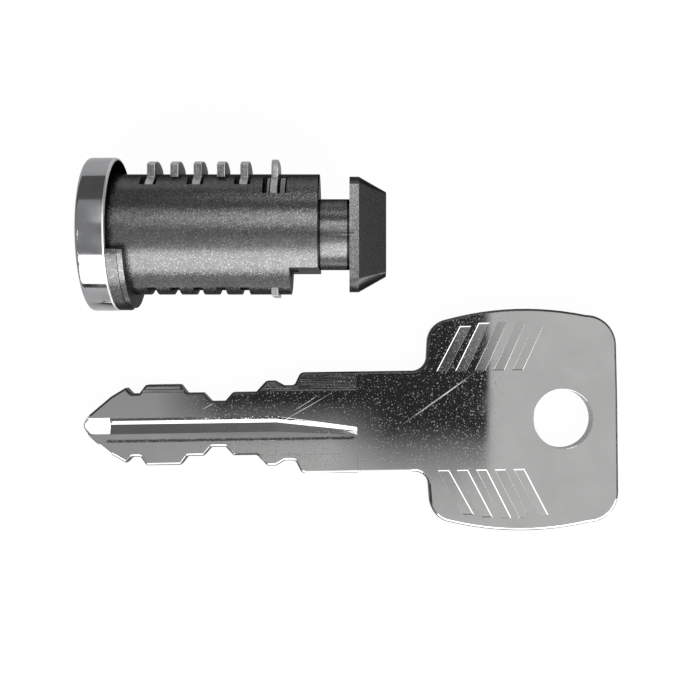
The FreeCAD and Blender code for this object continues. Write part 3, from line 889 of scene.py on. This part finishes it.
# %% White table
def white_table():
    """White laminate, of which a share glows."""
    material = bpy.data.materials.new("white_table_laminate")
    material.use_nodes = True
    tree = material.node_tree
    tree.nodes.clear()
    fine = add(tree, "ShaderNodeTexNoise", {"Scale": per_metre(paper_mm), "Detail": 2.0})
    tree.links.new(add(tree, "ShaderNodeTexCoord").outputs["Object"], fine.inputs["Vector"])
    paper = ramp(tree, fine.outputs["Fac"], [(0.3, linear("#f4f4f4")), (0.7, linear("#f6f6f6"))])
    matt = add(tree, "ShaderNodeBsdfDiffuse", {}, {"Color": paper})
    ray = add(tree, "ShaderNodeLightPath")
    shade = ramp(tree, ray.outputs["Is Camera Ray"], [(0.0, glow_strength_in_mirrors), (1.0, 1.0)])
    glow = add(tree, "ShaderNodeEmission", {"Strength": 1.0}, {"Color": shade})
    seen = add(
        tree, "ShaderNodeMath", {"operation": "MULTIPLY_ADD", "use_clamp": True},
        {0: ray.outputs["Is Camera Ray"]},
    )
    seen.inputs[1].default_value = glow_to_camera
    mirrored = add(
        tree, "ShaderNodeMath", {"operation": "MAXIMUM"},
        {0: ray.outputs["Is Glossy Ray"], 1: ray.outputs["Is Transmission Ray"]},
    )
    share = add(tree, "ShaderNodeMath", {"operation": "MULTIPLY"}, {0: mirrored.outputs[0]})
    share.inputs[1].default_value = glow_to_mirrors
    tree.links.new(share.outputs[0], seen.inputs[2])
    blend = add(
        tree, "ShaderNodeMixShader", {}, {0: seen.outputs[0], 1: matt.outputs[0], 2: glow.outputs[0]}
    )
    add(tree, "ShaderNodeOutputMaterial", links={"Surface": blend.outputs[0]})
    return material


# Half the table's side, in metres, and the gap that keeps it off the lowest solid.
table_half = 0.6
table_gap_mm = 0.02
table_z = cad_box[0][2] - table_gap_mm * MM
signs = [(-1, -1), (1, -1), (1, 1), (-1, 1)]
table_corners = [(x * table_half, y * table_half, table_z) for x, y in signs]
table_mesh = bpy.data.meshes.new("table")
table_mesh.from_pydata(table_corners, [], [(0, 1, 2, 3)])
table_mesh.materials.append(white_table())
table = bpy.data.objects.new("table", table_mesh)
bpy.context.scene.collection.objects.link(table)
print("table at", round(table_z / MM, 2), "mm")

# %% [markdown]
# ## Room
#
# A mirror-like cap and key show the room in bands, so the room is drawn by angle. One angle says how
# far a ray leans across the lock from straight up, positive toward the wafers, and the other how far
# it leans along the lock. Three ramps across the lock give the room's left, middle and right parts.
# The left part is what the cap sees, the middle one lights the plug's body and the blade, and the
# right one the bow. Black cards and small lamps are then laid over them, each as a box of angles
# with soft sides.


# %% Where things are in the room, in degrees, and how bright
def at(degrees):
    """The place on the room's ramps of an angle from straight up."""
    return 0.5 + degrees / 360


left_part = [
    (-92, 0.6), (-91, 0.05), (-83, 0.05), (-80, 0.42), (-29, 0.38), (46, 0.44), (47.5, 0.15),
    (94, 0.15), (97, 0.6),
]
middle_part = [
    (-92, 0.6), (-91, 0.05), (-83, 0.05), (-78, 0.6), (-34, 1.2), (-12, 1.0), (-8.5, 0.57),
    (-5, 0.55), (-3, 0.4), (10, 0.4), (14, 2.8), (30, 3.3), (37, 3.0), (41, 0.2), (57, 0.2),
    (62, 1.2), (94, 0.6), (100, 0.6),
]
right_part = [
    (-92, 0.6), (-91, 0.05), (-83, 0.05), (-78, 0.65), (30, 0.63), (46, 0.2), (94, 0.12), (97, 0.6),
]
left_to_middle = [(-12.5, 0.0), (-8, 0.4), (-2.6, 1.0)]
middle_to_right = (7.0, 7.3)

# A card or lamp is a span along the lock, a span across it and a brightness. A span says where it
# starts, from where and up to where it is full, and where it ends. In turn: the hood round the lens,
# which the blade shows; a lamp for the neck's middle; a card for the shank's lower half; a lamp for
# the neck's upper half; two lamps for the rims of the bow and its bars; a card for the tail's taper;
# a lamp for the pocket at the key's tip.
cards_and_lamps = [
    ((-10.0, -6.8, 7.0, 7.3), (-5.0, -2.6, 6.0, 9.0), 0.03),
    ((-2.5, -1.5, 1.5, 2.5), (3.0, 3.6, 10.0, 14.0), 2.2),
    ((-1.0, 2.0, 7.0, 7.3), (-7.2, -3.9, 0.0, 1.0), 0.03),
    ((-6.5, -5.0, 0.5, 1.5), (60.0, 64.0, 85.0, 95.0), 4.0),
    ((15.0, 18.0, 50.0, 54.0), (-80.0, -70.0, 14.0, 22.0), 3.0),
    ((49.0, 50.0, 58.0, 59.0), (-46.0, -42.0, -22.0, -18.0), 3.0),
    ((58.0, 60.0, 82.0, 86.0), (-80.0, -70.0, 80.0, 90.0), 0.08),
    ((-29.0, -26.0, -18.5, -17.0), (-8.0, -7.0, 0.0, 1.0), 3.0),
]


# %% Grey room
def angles_of_ray(tree):
    """How far a ray leans along X and across Y, as places on the room's ramps."""
    ray_way = add(tree, "ShaderNodeTexCoord").outputs["Generated"]
    way = add(tree, "ShaderNodeSeparateXYZ", {}, {0: ray_way})
    angles = {}
    for side in ("X", "Y"):
        turn = add(
            tree, "ShaderNodeMath", {"operation": "ARCTAN2"},
            {0: way.outputs[side], 1: way.outputs["Z"]},
        )
        unit = add(tree, "ShaderNodeMath", {"operation": "MULTIPLY_ADD"}, {0: turn.outputs[0]})
        unit.inputs[1].default_value = 1 / (2 * math.pi)
        unit.inputs[2].default_value = 0.5
        angles[side] = unit.outputs[0]
    return angles


def by_angle(tree, angle, stops):
    """A ramp whose stops are in degrees."""
    return ramp(tree, angle, [(at(degrees), value) for degrees, value in stops])


def box_of_angles(tree, angles, span_x, span_y):
    """1 inside a span of each angle and 0 outside, with soft sides."""
    masks = []
    for side, (low, low_full, high_full, high) in (("X", span_x), ("Y", span_y)):
        masks.append(rise(tree, angles[side], at(low), at(low_full)))
        masks.append(rise(tree, angles[side], at(high), at(high_full)))
    return product(tree, product(tree, masks[0], masks[1]), product(tree, masks[2], masks[3]))


def grey_room():
    """The room, which the camera itself sees as plain white."""
    world = bpy.data.worlds.new("studio_room")
    bpy.context.scene.world = world
    world.use_nodes = True
    tree = world.node_tree
    tree.nodes.clear()
    angles = angles_of_ray(tree)
    tone = by_angle(tree, angles["Y"], left_part)
    middle = by_angle(tree, angles["Y"], middle_part)
    right = by_angle(tree, angles["Y"], right_part)
    toward_middle = by_angle(tree, angles["X"], left_to_middle)
    toward_right = rise(tree, angles["X"], at(middle_to_right[0]), at(middle_to_right[1]))
    for share, side in ((toward_middle, middle), (toward_right, right)):
        blend = add(
            tree, "ShaderNodeMix", {"data_type": "RGBA"}, {"Factor": share, "A": tone, "B": side}
        )
        tone = blend.outputs["Result"]
    for span_x, span_y, value in cards_and_lamps:
        laid_over = add(
            tree, "ShaderNodeMix", {"data_type": "RGBA", "B": (value, value, value, 1.0)},
            {"Factor": box_of_angles(tree, angles, span_x, span_y), "A": tone},
        )
        tone = laid_over.outputs["Result"]
    ray = add(tree, "ShaderNodeLightPath")
    shown = add(
        tree, "ShaderNodeMix", {"data_type": "RGBA", "B": (1.0, 1.0, 1.0, 1.0)},
        {"Factor": ray.outputs["Is Camera Ray"], "A": tone},
    )
    light = add(tree, "ShaderNodeBackground", {"Strength": 1.0}, {"Color": shown.outputs["Result"]})
    add(tree, "ShaderNodeOutputWorld", links={"Surface": light.outputs[0]})


grey_room()
print("room drawn with", len(cards_and_lamps), "cards and lamps")

# %% [markdown]
# ## Lamp
#
# One large soft lamp stands low on the side away from the wafers. It makes the broad sheen along the
# lower half of the plug and the white band on the cap's side.

# %% Soft lamp
# Its lengths are in metres, and its glow is how bright it is, whatever its size.
lamp_tilt = math.radians(59)
lamp_far = 0.36
lamp_width = 0.7
lamp_height = 0.32
lamp_glow = 2.7
lamp_light = bpy.data.lights.new("soft_lamp", "AREA")
lamp_light.shape = "RECTANGLE"
lamp_light.size = lamp_width
lamp_light.size_y = lamp_height
lamp_light.energy = lamp_glow * math.pi * lamp_width * lamp_height
lamp = bpy.data.objects.new("soft_lamp", lamp_light)
bpy.context.scene.collection.objects.link(lamp)
lamp_aim = Vector((0.015, 0.0, 0.0))
lamp.location = lamp_aim + lamp_far * Vector((0.0, -math.sin(lamp_tilt), math.cos(lamp_tilt)))
lamp.rotation_euler = (lamp_tilt, 0.0, 0.0)
print("lamp watts", round(lamp_light.energy, 2))

# %% [markdown]
# ## Camera
#
# The picture is a close-up from straight above: the far end of the cap shows its side, which only
# happens near the object. The camera stands 119.6 mm above the lock's axis, over the middle of the
# picture, and its lens follows from the scale of 9.2 pixels to the millimetre there.

# %% Camera
sensor_mm = 36.0
picture_px = 700
scale_px_per_mm = 9.2
distance_px = 1100.0
middle_x_mm = 24.92
middle_y_mm = -12.52
camera_data = bpy.data.cameras.new("camera")
camera_data.sensor_width = sensor_mm
camera_data.lens = sensor_mm * distance_px / picture_px
camera = bpy.data.objects.new("camera", camera_data)
camera.location = (middle_x_mm * MM, middle_y_mm * MM, distance_px / scale_px_per_mm * MM)
bpy.context.scene.collection.objects.link(camera)
bpy.context.scene.camera = camera
print("lens", round(camera_data.lens, 2), "mm, height", round(camera.location.z / MM, 1), "mm")

# %% [markdown]
# ## Colour handling
#
# The picture keeps plain display colours, so that a swatch comes out as it was written.

# %% Colour handling
bpy.context.scene.view_settings.view_transform = "Standard"
